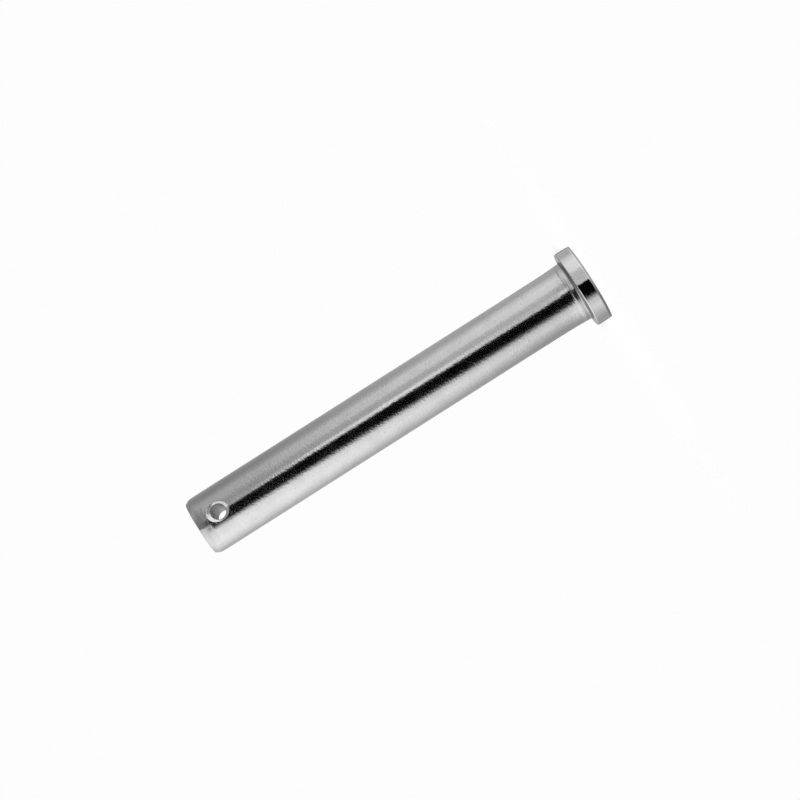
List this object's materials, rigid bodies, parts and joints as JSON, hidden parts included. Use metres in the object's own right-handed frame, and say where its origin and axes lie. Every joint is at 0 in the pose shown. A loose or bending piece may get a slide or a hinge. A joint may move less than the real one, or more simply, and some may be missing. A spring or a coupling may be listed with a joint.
{
  "type": "clevis pin",
  "caption": "Headed steel clevis pin: plain round shank, flat disc head, chamfered tail and a countersunk cross hole that takes a split pin.",
  "frame": {"origin": "centre of the head's outer face, which the pin stands on", "axes": "+Z along the shank from the head to the tail, Y along the split-pin hole"},
  "size_m": [0.016, 0.016, 0.0892],
  "materials": {
    "steel": "bright drawn and tumbled steel, near mirror on the head's rim, finely dented on the shank"
  },
  "bodies": {
    "root": {"clevis_pin": "steel"}
  },
  "joints": []
}
